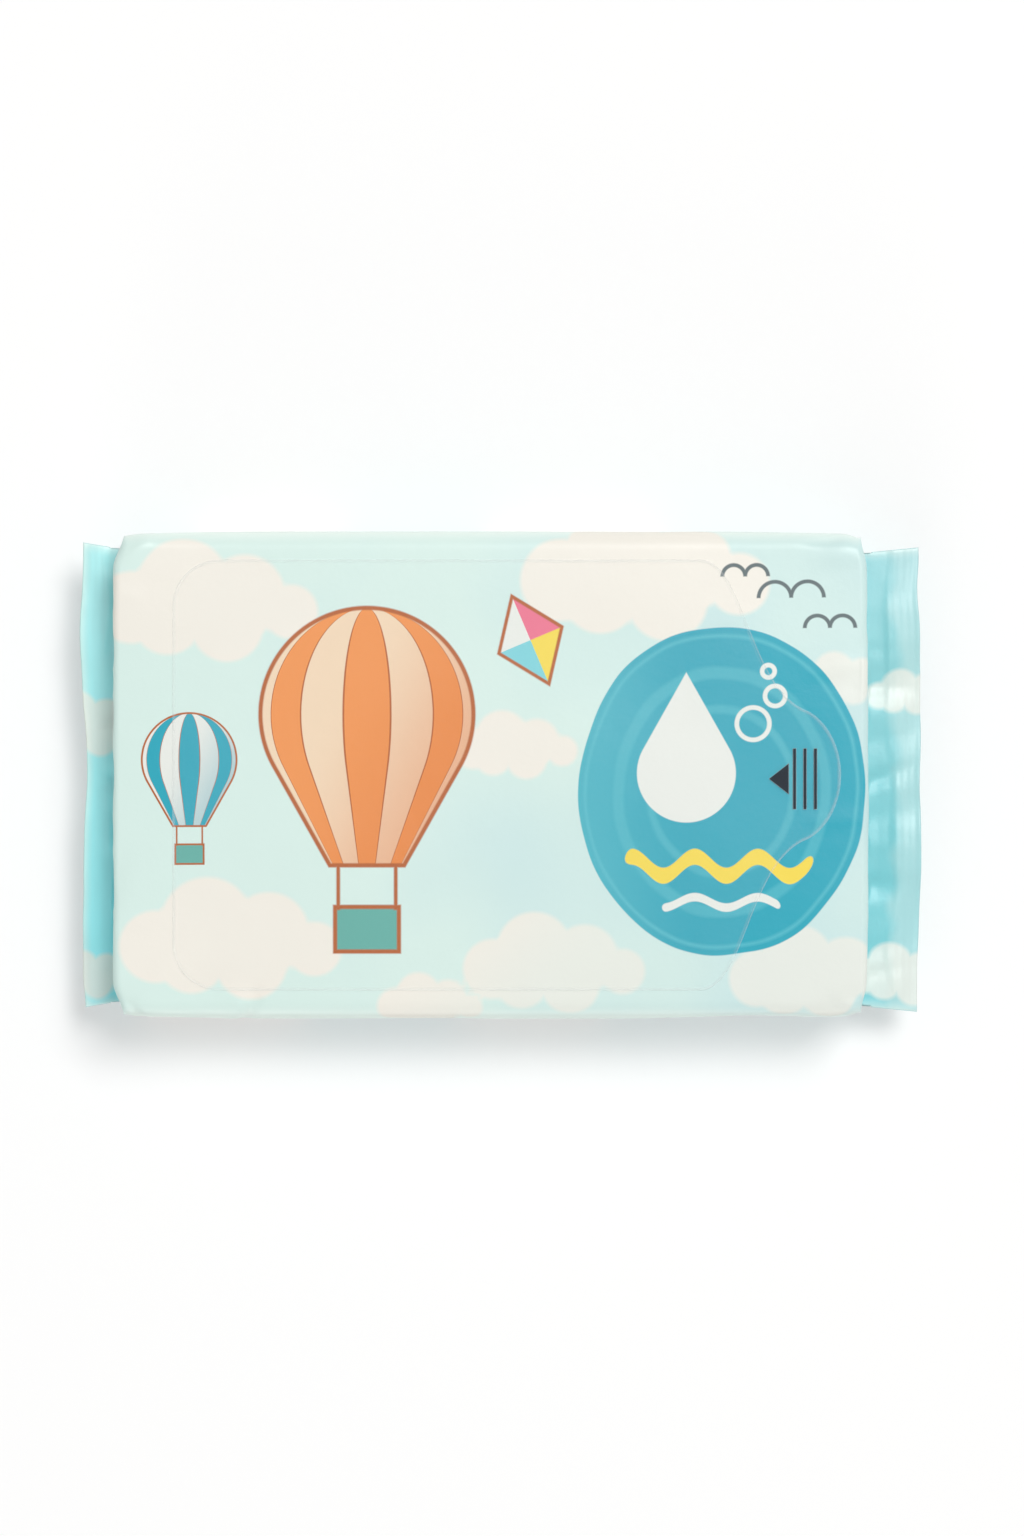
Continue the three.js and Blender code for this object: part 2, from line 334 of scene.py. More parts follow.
class FilmGrid:
    """The film as rows of points that run round the pack, with each point's place on the flat sheet."""

    INSET_RUN = 4.0  # before a seal's root, where the sides begin to draw in to it
    TUCK_RUN = 15.0  # at each end, over which the tucks draw in the long sides
    TUCK_CLOSES = (0.3, 0.6)  # past the root, where a tuck begins to close and is closed
    CLOSED = 1.01  # a closed tuck turns out by a hair
    SEAL_BEGINS = (0.0, 0.6)  # past the root, where a seal begins and is whole
    WRINKLE_ROOM = (0.3, 2.2)  # half heights at which wrinkles begin to have room and have all of it
    LEAST_NORMAL = 1e-9

    def __init__(self, shape):
        over, down = shape.columns()
        girth = np.concatenate([over, over[-1] + down])
        self.quarter = girth[-1]
        far = 2 * self.quarter - girth
        back, forth = slice(None, 0, -1), slice(0, -1)
        around = np.concatenate([-girth[back], girth[forth], far[back], -far[forth]])
        spots, sheet, past, room = [], [], [], []
        for along, out, half_height, past_root in shape.rows():
            seal = shape.left_seal if along < 0 else shape.right_seal
            spread = np.clip(past_root / seal, 0, 1)
            inset = shape.seal_inset * ramp(past_root, -self.INSET_RUN, 0)
            width = shape.half_width - inset + shape.seal_flare * spread
            hollow = shape.side_hollow * ramp(abs(out), shape.half_length - self.TUCK_RUN, shape.half_length)
            tuck = math.sqrt(max(shape.half_height**2 - half_height**2, 0) + hollow**2)
            tuck *= 1 - self.CLOSED * ramp(past_root, *self.TUCK_CLOSES)
            y, z = shape.quarter(half_height, width, tuck).T
            y = np.concatenate([-y[back], y[forth], y[back], -y[forth]])
            z = np.concatenate([z[back], z[forth], -z[back], -z[forth]])
            z[np.isclose(np.abs(z), 0)] = 0
            spots.append(np.column_stack([np.full(len(y), out), y, shape.middle + z]))
            sheet.append(np.column_stack([np.full(len(y), along), around]))
            past.append(np.full(len(y), past_root))
            room.append(np.full(len(y), half_height))
        self.spots = np.array(spots)
        self.sheet = np.array(sheet)
        self.past = np.array(past)
        self.room = ramp(np.array(room), *self.WRINKLE_ROOM)
        self.along, self.around = self.sheet[..., 0], self.sheet[..., 1]
        self.side = np.sign(self.along)
        self.is_top = np.abs(self.around) <= self.quarter
        self.over = np.minimum(np.abs(self.around), 2 * self.quarter - np.abs(self.around))
        self.in_seal = ramp(self.past, *self.SEAL_BEGINS)

    def lift(self, heights):
        """Moves the points out along the film's normals."""
        along = np.gradient(self.spots, axis=0)
        around = np.roll(self.spots, -1, axis=1) - np.roll(self.spots, 1, axis=1)
        normal = np.cross(along, around)
        normal /= np.maximum(np.linalg.norm(normal, axis=2, keepdims=True), self.LEAST_NORMAL)
        self.spots += normal * heights[..., None]


def fill_body(shape, grid):
    """Crowns the top panel, pushes out the ends and draws in the corners."""
    end_run, corner_run = 5.0, 2.0
    side_begins, side_whole = shape.flat - 2.0, shape.flat + 1.6
    bow_ends = (-2.5, 0.5)
    side_swell, corner_sag = 0.15, 0.2
    x, y, z = (grid.spots[..., i].copy() for i in range(3))
    reach = np.abs(x)
    across = np.clip(1 - (y / shape.flat) ** 2, 0, 1)
    crease = shape.half_length - shape.crease_radius
    crown = shape.crown * np.clip(1 - (x / crease) ** 4, 0, 1) * across
    bow = np.where(x < 0, shape.left_bow, shape.right_bow) * np.clip(reach / shape.half_length, 0, 1) ** 6
    bow *= 1 - ramp(grid.past, *bow_ends)
    near_end = ramp(reach, shape.half_length - end_run, shape.half_length) * (1 - grid.in_seal)
    at_corner = ramp(reach, shape.half_length - corner_run, shape.half_length) * (1 - grid.in_seal)
    near_side = ramp(grid.over, side_begins, side_whole)
    level = np.abs(z - shape.middle) / shape.half_height
    lean = np.where(x < 0, shape.left_lean, shape.right_lean) * near_end * near_side
    grid.spots[..., 0] += grid.side * (bow * (1 - (y / shape.half_width) ** 4) * (1 - near_side) - lean)
    pull = np.where(x < 0, shape.left_pull, shape.right_pull) * at_corner * near_side * level
    swell = side_swell * near_side * np.clip(1 - (x / shape.half_length) ** 4, 0, 1)
    grid.spots[..., 1] += np.sign(y) * (swell - pull)
    sag = corner_sag * near_end**2 * near_side**2 * level
    grid.spots[..., 2] += np.where(grid.is_top, crown - sag, 0)


CREASES = [  # short folds: where each starts and stops on the sheet, its rise and its half width
    ((33.5, 24.5), (38.2, 25.0), -0.36, 0.6),
    ((35.0, 22.6), (38.6, 23.6), 0.12, 0.9),
    ((-38.9, -23.6), (-37.2, -26.0), -0.25, 0.5),
    ((-25.9, -26.6), (-24.7, -22.4), -0.36, 0.5),
    ((-27.4, -26.2), (-26.3, -22.6), 0.16, 0.8),
    ((-37.5, -24.0), (-31.0, -17.5), 0.15, 1.3),
    ((-36.0, -25.0), (-28.5, -21.0), -0.14, 1.2),
    ((34.0, -24.6), (38.2, -23.4), -0.24, 0.9),
    ((36.4, -23.0), (39.2, -25.2), 0.2, 0.6),
    ((-39.0, 22.0), (-36.0, 25.0), 0.18, 0.6),
    ((38.0, 9.0), (39.4, 16.0), -0.16, 0.8),
    ((-38.6, -8.0), (-39.4, -15.0), -0.14, 0.8),
]
FOLD_SEED = 41
SIDE_FOLDS, TUCK_FOLDS, END_FOLDS = 17, 4, 7  # on each side, at each end of a tuck, and in from each end
UNDER_FOLDS = 26
SIDE_FOLDS_STOP, END_FOLDS_START, UNDER_FOLDS_STOP = 35, 39.3, 33  # places along the sheet
FOLD_SHARPNESS = 1.6
FOLD_ENDS = 0.35  # share of a fold's rise that is left at its ends


def slack_folds(quarter):
    """Seeded folds in the slack film: along the sides, out of the tucks, in from the ends, under the pack."""
    rng = np.random.default_rng(FOLD_SEED)
    folds = []

    def add(x, level, run, climb, rise, half):
        folds.append(((x, level), (x + run, level + climb), rise, half))

    for side in (-1, 1):
        for _ in range(SIDE_FOLDS):
            x, run = rng.uniform(-36, 26), rng.uniform(5, 19)
            run = min(run, SIDE_FOLDS_STOP - x)
            level = side * (quarter + rng.uniform(-3.4, 3.4))
            tilt = run * rng.uniform(-0.13, 0.13)
            add(x, level, run, tilt, rng.uniform(-0.5, -0.15), rng.uniform(0.45, 0.95))
        for end in (-1, 1):
            for _ in range(TUCK_FOLDS):
                x, run = end * rng.uniform(20, 31), end * rng.uniform(5, 9)
                climb = side * rng.choice((-1, 1)) * rng.uniform(1.5, 4.0)
                add(x, side * quarter, run, climb, rng.uniform(-0.45, -0.2), rng.uniform(0.4, 0.7))
    for end in (-1, 1):
        for y in rng.uniform(-23, 23, END_FOLDS):
            run, sway = -end * rng.uniform(2.5, 8.0), rng.uniform(-2.0, 2.0)
            add(end * END_FOLDS_START, y, run, sway, rng.uniform(-0.07, 0.06), rng.uniform(0.6, 1.1))
    for _ in range(UNDER_FOLDS):
        x, run = rng.uniform(-37, 25), rng.uniform(4, 15)
        run = min(run, UNDER_FOLDS_STOP - x)
        level = rng.choice((-1, 1)) * (2 * quarter - rng.uniform(7, 24))
        add(x, level, run, run * rng.uniform(-0.5, 0.5), rng.uniform(-0.2, -0.05), 0.8)
    return folds


FILM_WAVES = {  # size of a wave along and around the sheet, and its seed
    "panel": (14, 11, 3),
    "wall": (6, 3.2, 6),
    "side": (9, 7, 7),
    "ripple": (3, 3.4, 8),
}


def wrinkle_film(shape, grid):
    """Gives the slack film its waves and folds. The folds of the sides go in, so that the outline stays."""
    panel_rise, wall_depth = 0.45, 1.4  # in wrinkle depths, like the three of the sides
    side_depth, side_ridge, side_ripple = 1.1, 0.9, 0.3
    wall_begins, wall_whole = shape.half_length - 0.5, shape.half_length + 2.5
    side_begins, side_whole = shape.flat + 3.1, shape.flat + 5.1
    puckers_fade, puckers_end = shape.flat - 7, shape.flat - 2
    depth = shape.wrinkle_depth
    waves = {
        name: noise(grid.along / long, grid.around / wide, seed)
        for name, (long, wide, seed) in FILM_WAVES.items()
    }
    level = np.abs(grid.spots[..., 2] - shape.middle)
    panel = ramp(level, shape.half_height - shape.edge_radius, shape.half_height)
    wall = ramp(np.abs(grid.along), wall_begins, wall_whole)
    side = ramp(grid.over, side_begins, side_whole) * (1 - wall)
    inner = 1 - ramp(grid.over, puckers_fade, puckers_end)
    heights = panel_rise * depth * waves["panel"] * panel
    heights -= wall_depth * depth * wall * (1 - creased(waves["wall"])) * inner
    dents = side_depth - side_ridge * creased(waves["side"]) + side_ripple * waves["ripple"]
    heights -= depth * side * dents
    for start, stop, rise, half in CREASES + slack_folds(grid.quarter):
        start, run = np.array(start), np.array(stop) - start
        off = grid.sheet - start
        share = np.clip(off @ run / (run @ run), 0, 1)
        gap = np.linalg.norm(off - share[..., None] * run, axis=-1)
        swell = FOLD_ENDS + (1 - FOLD_ENDS) * np.sin(np.pi * share)
        heights += rise * np.exp(-((gap / half) ** FOLD_SHARPNESS)) * swell
    grid.lift(heights * grid.room)


PUCKERS = [  # soft dents across the end seals: end, place, slant, depth and half width
    (-1, -9.0, 0.8, 0.3, 1.2), (-1, -0.6, -1.2, 0.3, 0.9), (-1, 7.0, 0.5, 0.2, 2.0),
    (1, 10.3, 0.6, 0.35, 1.7), (1, -0.5, 2.2, 0.34, 0.8), (1, -11.5, -0.8, 0.3, 1.4),
]
EDGE_BULGES = [  # where a cut edge is not straight: end, place, how far out and half width
    (-1, 15.0, 0.3, 4.5), (-1, 0.0, -0.42, 6.0), (-1, -24.5, -0.25, 1.6),
    (1, 6.5, 0.38, 9.0), (1, -9.0, 0.26, 6.0),
]
SEAL_WAVES = {  # size of a wave across the seal, waves from its root to its cut edge, and seed
    "border": (6, 0, 24),
    "fold": (7, 0, 21),
    "swell": (8, 0, 11),
    "ripple": (3.1, 2, 12),
    "cut": (4, 0, 14),
}
GATHER_SEED = 57
GATHERS = 13  # at each end
GATHER_REACH, GATHER_STRAY = 21, 1.2  # of the outermost gather from the middle, and of each from its place
LEFT_GATHERS = 1.7  # how much deeper they are at the left end


def gathers():
    """Seeded small folds that run out from the roots of the end seals, like the puckers."""
    rng = np.random.default_rng(GATHER_SEED)
    folds = []
    for end in (-1, 1):
        places = np.linspace(-GATHER_REACH, GATHER_REACH, GATHERS)
        for place in places + rng.uniform(-GATHER_STRAY, GATHER_STRAY, GATHERS):
            slant, depth, half = rng.uniform(-1.6, 1.6), rng.uniform(-0.12, 0.2), rng.uniform(0.5, 1.1)
            folds.append((end, place, slant, depth * (LEFT_GATHERS if end < 0 else 1.0), half))
    return folds


def wave_seals(shape, grid):
    """Droops, waves, gathers and crimps the flat seals at the two ends."""
    end_drift = 7  # sets the waves of the two ends apart
    border_wander, border_soft = 0.55, 0.45
    fold_rise, fold_dip, dip_run = 0.4, 0.3, (0.2, 1.4)
    ripple_share, pucker_fade = 0.35, 0.75
    rim_width, rim_rise, cut_wander = 0.9, 0.12, 0.1
    drop_run = (-3.0, 0.5)
    y = grid.spots[..., 1]
    seal = np.where(grid.along < 0, shape.left_seal, shape.right_seal)
    spread = np.clip(grid.past / seal, 0, 1)
    waves = {
        name: noise(y / wide + end_drift * grid.side, spread * count, seed)
        for name, (wide, count, seed) in SEAL_WAVES.items()
    }
    inner = grid.past - seal + shape.seal_band + border_wander * waves["border"]
    band = ramp(inner, -border_soft, border_soft)
    fold = 0.5 + 0.5 * waves["fold"]
    lift = -shape.seal_droop * spread**2
    lift += (fold_rise * band - fold_dip * ramp(grid.past, *dip_run)) * fold * grid.in_seal
    lift += shape.seal_wave * spread**1.5 * (waves["swell"] + ripple_share * waves["ripple"])
    for side, place, slant, depth, half in PUCKERS + gathers():
        dent = np.exp(-(((y - place - slant * spread) / half) ** 2)) * (1 - pucker_fade * spread**1.5)
        lift -= depth * dent * grid.in_seal * (grid.side == side)
    lift += rim_rise * ramp(grid.past, seal - rim_width, seal)
    lift += shape.crimp_depth * band * np.sin(2 * np.pi * grid.along / shape.crimp_pitch)
    bulge = cut_wander * waves["cut"]
    for side, place, out, half in EDGE_BULGES:
        bulge += out * np.exp(-(((y - place) / half) ** 2)) * (grid.side == side)
    grid.spots[..., 2] += lift
    grid.spots[..., 0] += grid.side * spread * bulge
    grid.spots[..., 1] -= shape.right_drop * ramp(grid.past, *drop_run) * (grid.side > 0)


def fold_seam(shape, grid):
    """Lays the folded back seam along the bottom panel, and keeps the film off the floor."""
    slack, flattened, floor_gap = 0.02, 0.6, 0.03
    z = grid.spots[..., 2]
    under = 2 * grid.quarter - np.abs(grid.around) <= shape.seam_width / 2 + slack
    z -= np.where(under, shape.seam_step * (1 - flattened * grid.in_seal), 0)
    grid.spots[..., 2] = np.maximum(z, np.where(under, 0, floor_gap))


def make_mesh(name, spots, faces, uv, value_name, values, smooth):
    """A mesh of points in millimetres, with its UV map and one named value at each point."""
    mesh = bpy.data.meshes.new(name)
    mesh.from_pydata((spots * MM).tolist(), [], faces)
    mesh.uv_layers.new(name="OFBake").data.foreach_set("uv", uv.astype(np.float32).ravel())
    layer = mesh.attributes.new(value_name, "FLOAT", "POINT")
    layer.data.foreach_set("value", values.astype(np.float32).ravel())
    mesh.polygons.foreach_set("use_smooth", smooth)
    mesh.update()
    return mesh


def cut_edges(grid, index):
    """Faces that close the film at its two cut edges, and their places on the sheet, just past its ends."""
    near, far = 0.2, 0.5
    rows, count = index.shape
    half = count // 2
    faces, places = [], []
    for row, ahead in ((0, -1), (rows - 1, 1)):
        for j in range(half):
            rim = list(dict.fromkeys([j, j + 1, (count - j - 1) % count, (count - j) % count]))
            if ahead > 0:
                rim.reverse()
            faces.append([int(index[row, k]) for k in rim])
            for k in rim:
                is_upper = k <= half
                out = near if is_upper else far
                column = k if is_upper else count - k
                places.append((grid.along[row, 0] + ahead * out, grid.around[row, column]))
    return faces, places


def film_mesh(shape):
    """The film as a closed mesh, with its place on the flat sheet as UV."""
    grid = FilmGrid(shape)
    for step in (fill_body, wrinkle_film, wave_seals, fold_seam):
        step(shape, grid)
    rows, count = grid.along.shape
    index = np.arange(rows * count).reshape(rows, count)
    beside = np.roll(index, -1, axis=1)
    faces = np.stack([index[:-1], index[1:], beside[1:], beside[:-1]], axis=-1).reshape(-1, 4)
    places = grid.sheet.reshape(-1, 2)[faces]
    over_seam = np.ptp(places[..., 1], axis=1) > 2 * grid.quarter
    places[over_seam, :, 1] -= np.where(places[over_seam, :, 1] > 0, 4 * grid.quarter, 0)
    edge_faces, edge_places = cut_edges(grid, index)
    faces = faces.tolist() + edge_faces
    uv = np.vstack([places.reshape(-1, 2), edge_places]) / SHEET_SPAN + 0.5
    spots = grid.spots.reshape(-1, 3) + [shape.origin_x, 0, 0]
    smooth = np.ones(len(faces), bool)
    return make_mesh("printed_film", spots, faces, uv, "cloud_gap", cloud_gaps(grid.sheet), smooth)


CLOUD_LUMPS = [  # rounds of one cloud: place and radius, for a cloud of size 1
    (-0.66, -0.04, 0.33), (-0.2, 0.17, 0.42), (0.36, 0.08, 0.37),
    (0.78, -0.07, 0.25), (-0.34, -0.16, 0.31), (0.2, -0.2, 0.33),
]
CLOUDS = [  # places on the sheet, and about half of each length
    (-30.0, 18.0, 11.5), (16.0, 21.0, 13.0), (-27.5, -17.5, 11.5), (6.5, -20.0, 9.5), (34.0, -21.0, 9.0),
    (2.5, 3.0, 6.5), (37.0, 10.0, 5.0), (-6.5, -24.0, 5.5),
    (-48.3, 5.5, 6.5), (-48.0, -22.0, 5.0), (49.0, -21.5, 6.0), (49.5, 9.5, 4.5),
    (-24.0, 34.5, 8.5), (9.0, 37.0, 9.5), (31.0, 48.0, 9.0), (-11.0, 51.0, 10.0),
    (-29.0, -36.0, 9.0), (4.0, -35.5, 8.0), (27.0, -42.0, 9.5), (-13.0, -52.0, 10.0), (19.0, -56.0, 8.0),
]


def cloud_gaps(sheet):
    """How far each point of the sheet is outside the nearest cloud, and less than 0 inside one."""
    gaps = np.full(sheet.shape[:-1], np.inf)
    for x, y, size in CLOUDS:
        for lump_x, lump_y, radius in CLOUD_LUMPS:
            centre = np.array([x + size * lump_x, y + size * lump_y])
            gaps = np.minimum(gaps, np.linalg.norm(sheet - centre, axis=-1) - size * radius)
    return gaps


CORNER_POINTS, EDGE_POINTS, NECK_POINTS = 14, 70, 30
TAB_ANGLES = (*np.linspace(65, 20, 14), 15, 10, 6, 3)  # degrees from the tip, of the points round the tab
LABEL_COLUMNS = 61
TAB_LIFT_RUN = 7  # from the tip of the tab back to where it lies on the film
RIM_STRIP = (0.02, 0.025)  # where the thin edge of the label lies in the UV square, from bottom to top


def label_outline(shape, label):
    """Half of the label's outline, from its left edge to the tip of its tab, in millimetres."""
    left = label.left / MM - shape.half_length
    side, corner = label.side / MM, label.corner / MM
    shoulder = shape.half_length - label.shoulder / MM
    tab_length, tab_width = label.tab_length / MM, label.tab_half_width / MM
    tab_middle = shape.half_length - label.tab_margin / MM - tab_length
    turn = np.linspace(math.pi, math.pi / 2, CORNER_POINTS)
    points = [np.column_stack([left + corner + corner * np.cos(turn), side - corner + corner * np.sin(turn)])]
    start = shoulder - corner
    edge = np.linspace(left + corner, start, EDGE_POINTS)[1:]
    points.append(np.column_stack([edge, np.full(len(edge), side)]))
    turn = np.radians(TAB_ANGLES)
    tab = np.column_stack([tab_middle + tab_length * np.cos(turn), tab_width * np.sin(turn)])
    controls = np.array([(start, side), (shoulder, side), (shoulder, tab_width + label.neck / MM), tab[0]])
    t = np.linspace(0, 1, NECK_POINTS)[1:, None]
    weights = np.hstack([(1 - t) ** 3, 3 * t * (1 - t) ** 2, 3 * t**2 * (1 - t), t**3])
    points += [weights @ controls, tab[1:]]
    return np.vstack(points)


def film_under(x, y, film):
    """Heights of the film under these points, in millimetres."""
    tree = BVHTree.FromPolygons([v.co for v in film.vertices], [p.vertices for p in film.polygons])
    heights = np.empty(x.shape)
    well_over = 1.0
    for place in np.ndindex(*x.shape):
        start = Vector((x[place] * MM, y[place] * MM, well_over))
        hit = tree.ray_cast(start, Vector((0, 0, -1)))[0]
        if hit is None:
            raise RuntimeError("the label reaches past the film")
        heights[place] = hit.z / MM
    return heights


def label_mesh(shape, label, film):
    """The clear label as a thin closed sheet that follows the film under it."""
    outline = label_outline(shape, label)
    left, tip = outline[0, 0], outline[-1, 0]
    share = np.sin(np.linspace(-math.pi / 2, math.pi / 2, LABEL_COLUMNS))
    x = np.repeat(outline[:, :1], len(share), axis=1)
    y = outline[:, 1:] * share
    lift = label.tab_lift / MM * ramp(x, tip - TAB_LIFT_RUN, tip) ** 2
    z = film_under(x + shape.origin_x, y, film) + (label.adhesive / MM + lift)
    bottom = np.stack([x + shape.origin_x, y, z], axis=-1).reshape(-1, 3)
    top = bottom + [0, 0, label.thickness / MM]

    index = np.arange(x.size).reshape(x.shape)
    quads = np.stack([index[:-1, :-1], index[1:, :-1], index[1:, 1:], index[:-1, 1:]], axis=-1).reshape(-1, 4)
    rim = np.concatenate([index[:, 0], index[-1, 1:], index[::-1, -1][1:], index[0, ::-1][1:-1]])
    after = np.roll(rim, -1)
    walls = np.column_stack([rim, after, after + x.size, rim + x.size])
    faces = np.vstack([quads + x.size, quads[:, ::-1], walls])

    flat = np.stack([x, y], axis=-1).reshape(-1, 2)
    border = np.vstack([outline, outline * [1, -1]])
    gaps = np.array([np.min(np.linalg.norm(border - spot, axis=1)) for spot in flat])
    gaps = np.minimum(gaps, np.minimum(flat[:, 0] - left, tip - flat[:, 0]))

    uv = np.tile(flat, (2, 1))[faces.ravel()].reshape(-1, 4, 2) + [0, LABEL_SHIFT]
    uv[len(quads) : 2 * len(quads), :, 1] -= 2 * LABEL_SHIFT
    uv = uv / SHEET_SPAN + 0.5
    run, step = np.linspace(0, 1, len(walls), endpoint=False, retstep=True)
    uv[2 * len(quads) :, :, 0] = np.column_stack([run, run + step, run + step, run])
    uv[2 * len(quads) :, :, 1] = np.repeat(RIM_STRIP, 2)
    smooth = np.arange(len(faces)) < 2 * len(quads)
    spots = np.vstack([bottom, top])
    return make_mesh("clear_label", spots, faces.tolist(), uv, "rim_gap", np.tile(gaps, 2), smooth)


# Materials

EDGE_SOFT = 0.12  # millimetres over which a printed edge fades


class Graph:
    """Adds nodes to a node tree and joins them, from sockets and plain values."""

    def __init__(self, tree):
        self.tree = tree

    def join(self, socket, value):
        if isinstance(value, bpy.types.NodeSocket):
            self.tree.links.new(value, socket)
        elif socket.type == "RGBA":
            socket.default_value = (*value[:3], 1.0)
        else:
            socket.default_value = value

    def fill(self, sockets, values):
        for socket, value in zip(sockets, values):
            self.join(socket, value)

    def node(self, kind, values=None, **settings):
        made = self.tree.nodes.new(kind)
        for name, value in settings.items():
            setattr(made, name, value)
        for name, value in (values or {}).items():
            self.join(made.inputs[name], value)
        return made

    def math(self, operation, *values, clamp=False):
        made = self.node("ShaderNodeMath", operation=operation, use_clamp=clamp)
        self.fill(made.inputs, values)
        return made.outputs[0]

    def vector(self, operation, *values, out="Vector"):
        made = self.node("ShaderNodeVectorMath", operation=operation)
        self.fill(made.inputs, values)
        return made.outputs[out]

    def times(self, first, second):
        return self.math("MULTIPLY", first, second)

    def minus(self, first, second):
        return self.math("SUBTRACT", first, second)

    def size(self, value):
        return self.math("ABSOLUTE", value)

    def both(self, first, second):
        """The distance outside the part that two shapes share, from their own distances."""
        return self.math("MAXIMUM", first, second)

    def either(self, first, second):
        """The distance outside two shapes, from their own distances."""
        return self.math("MINIMUM", first, second)

    def band(self, value, middle, half):
        """The distance outside a band of this half width."""
        return self.minus(self.size(self.minus(value, middle)), half)

    def hypotenuse(self, first, second):
        squares = self.math("ADD", self.times(first, first), self.times(second, second))
        return self.math("SQRT", squares)

    def apart(self, vector):
        return self.node("ShaderNodeSeparateXYZ", {"Vector": vector}).outputs[:2]

    def noise(self, point, scale, detail=1.0, roughness=0.5):
        values = {"Vector": point, "Scale": scale, "Detail": detail, "Roughness": roughness}
        return self.node("ShaderNodeTexNoise", values).outputs["Fac"]

    def mix(self, share, under, over):
        made = self.node("ShaderNodeMix", data_type="RGBA")
        self.fill((made.inputs[0], made.inputs[6], made.inputs[7]), (share, under, over))
        return made.outputs[2]

    def choose(self, share, low, high):
        made = self.node("ShaderNodeMix", data_type="FLOAT")
        self.fill((made.inputs[0], made.inputs[2], made.inputs[3]), (share, low, high))
        return made.outputs[0]

    def inside(self, distance, soft=EDGE_SOFT):
        """1 where a distance is below 0, with an edge this soft."""
        return self.math("MULTIPLY_ADD", distance, -1 / soft, 0.5, clamp=True)

    def rise(self, value, low, high):
        """0 below low and 1 above high, with a smooth rise between them."""
        limits = {"Value": value, "From Min": low, "From Max": high}
        return self.node("ShaderNodeMapRange", limits, interpolation_type="SMOOTHSTEP").outputs[0]

    def place(self, group, **values):
        made = self.node("ShaderNodeGroup", node_tree=group)
        for name, value in values.items():
            self.join(made.inputs[name.replace("_", " ").capitalize()], value)
        return made.outputs


def new_group(name, inputs, outputs):
    """An empty shader node group, its graph, its input sockets and its output sockets."""
    kinds = {"vector": "NodeSocketVector", "value": "NodeSocketFloat", "colour": "NodeSocketColor"}
    tree = bpy.data.node_groups.new(name, "ShaderNodeTree")
    for label, kind in inputs.items():
        tree.interface.new_socket(label, in_out="INPUT", socket_type=kinds[kind])
    for label, kind in outputs.items():
        tree.interface.new_socket(label, in_out="OUTPUT", socket_type=kinds[kind])
    source = tree.nodes.new("NodeGroupInput")
    sink = tree.nodes.new("NodeGroupOutput")
    return tree, Graph(tree), source.outputs, sink.inputs


def taper_group():
    """A round of radius 1 that draws in to a point below: its distance, and its half width at each height."""
    outputs = {"Distance": "value", "Half width": "value"}
    tree, g, given, out = new_group("Taper", {"Point": "vector"}, outputs)
    slope = 0.49
    rise = math.sqrt(1 - slope**2)
    x, y = g.apart(given["Point"])
    x, y = g.size(x), g.times(y, -1.0)
    ball = g.minus(g.vector("LENGTH", given["Point"], out="Value"), 1.0)
    across = g.minus(g.math("MULTIPLY_ADD", x, rise, g.times(y, slope)), 1.0)
    below = g.math("MULTIPLY_ADD", x, slope, g.times(y, -rise))
    g.join(out["Distance"], g.either(ball, g.both(across, below)))
    square = g.math("MULTIPLY_ADD", y, g.times(y, -1.0), 1.0)
    round_width = g.math("SQRT", g.math("MAXIMUM", square, 0.0))
    cone_width = g.math("MULTIPLY_ADD", y, -slope / rise, 1 / rise)
    g.join(out["Half width"], g.choose(g.math("GREATER_THAN", y, slope), round_width, cone_width))
    return tree


def balloon_group(taper):
    """A hot-air balloon: its envelope, gores, shaded side, basket and drawn lines. Its radius counts as 1."""
    inputs = {"Point": "vector", "Centre": "vector", "Size": "value"}
    outputs = {"Envelope": "value", "Gore": "value", "Shade": "value", "Basket": "value", "Line": "value"}
    tree, g, given, out = new_group("Balloon", inputs, outputs)
    mouth, gores, soft = -1.42, 7, 0.015
    basket_level, basket_wide, basket_tall = -2.02, 0.3, 0.21
    rope_level, rope_out, rope_long, rope_thick = -1.62, 0.27, 0.22, 0.018
    line_thick, least_width, turns_ahead = 0.02, 0.01, 10.0
    shade_way, shade_begins, shade_whole = (0.8, -0.45, 0), -0.35, 1.1
    spot = g.vector("DIVIDE", g.vector("SUBTRACT", given["Point"], given["Centre"]), given["Size"])
    x, y = g.apart(spot)
    shape = g.place(taper, point=spot)
    envelope = g.both(shape["Distance"], g.minus(mouth, y))
    ratio = g.math("DIVIDE", x, g.math("MAXIMUM", shape["Half width"], least_width))
    ratio = g.math("MINIMUM", g.math("MAXIMUM", ratio, -1.0), 1.0)
    turn = g.times(g.math("ARCSINE", ratio), gores / math.pi)
    g.join(out["Gore"], g.size(g.math("MODULO", g.math("ROUND", turn), 2.0)))
    g.join(out["Envelope"], g.inside(envelope, soft))
    shade = g.vector("DOT_PRODUCT", spot, shade_way, out="Value")
    g.join(out["Shade"], g.rise(shade, shade_begins, shade_whole))
    basket = g.both(g.band(x, 0.0, basket_wide), g.band(y, basket_level, basket_tall))
    g.join(out["Basket"], g.inside(basket, soft))
    outline = g.band(g.either(envelope, basket), 0.0, line_thick)
    ropes = g.both(g.band(g.size(x), rope_out, rope_thick), g.band(y, rope_level, rope_long))
    seam = g.band(g.math("FRACT", g.math("ADD", turn, turns_ahead)), 0.5, line_thick)
    line = g.either(g.either(outline, ropes), g.both(seam, envelope))
    g.join(out["Line"], g.inside(line, soft))
    return tree
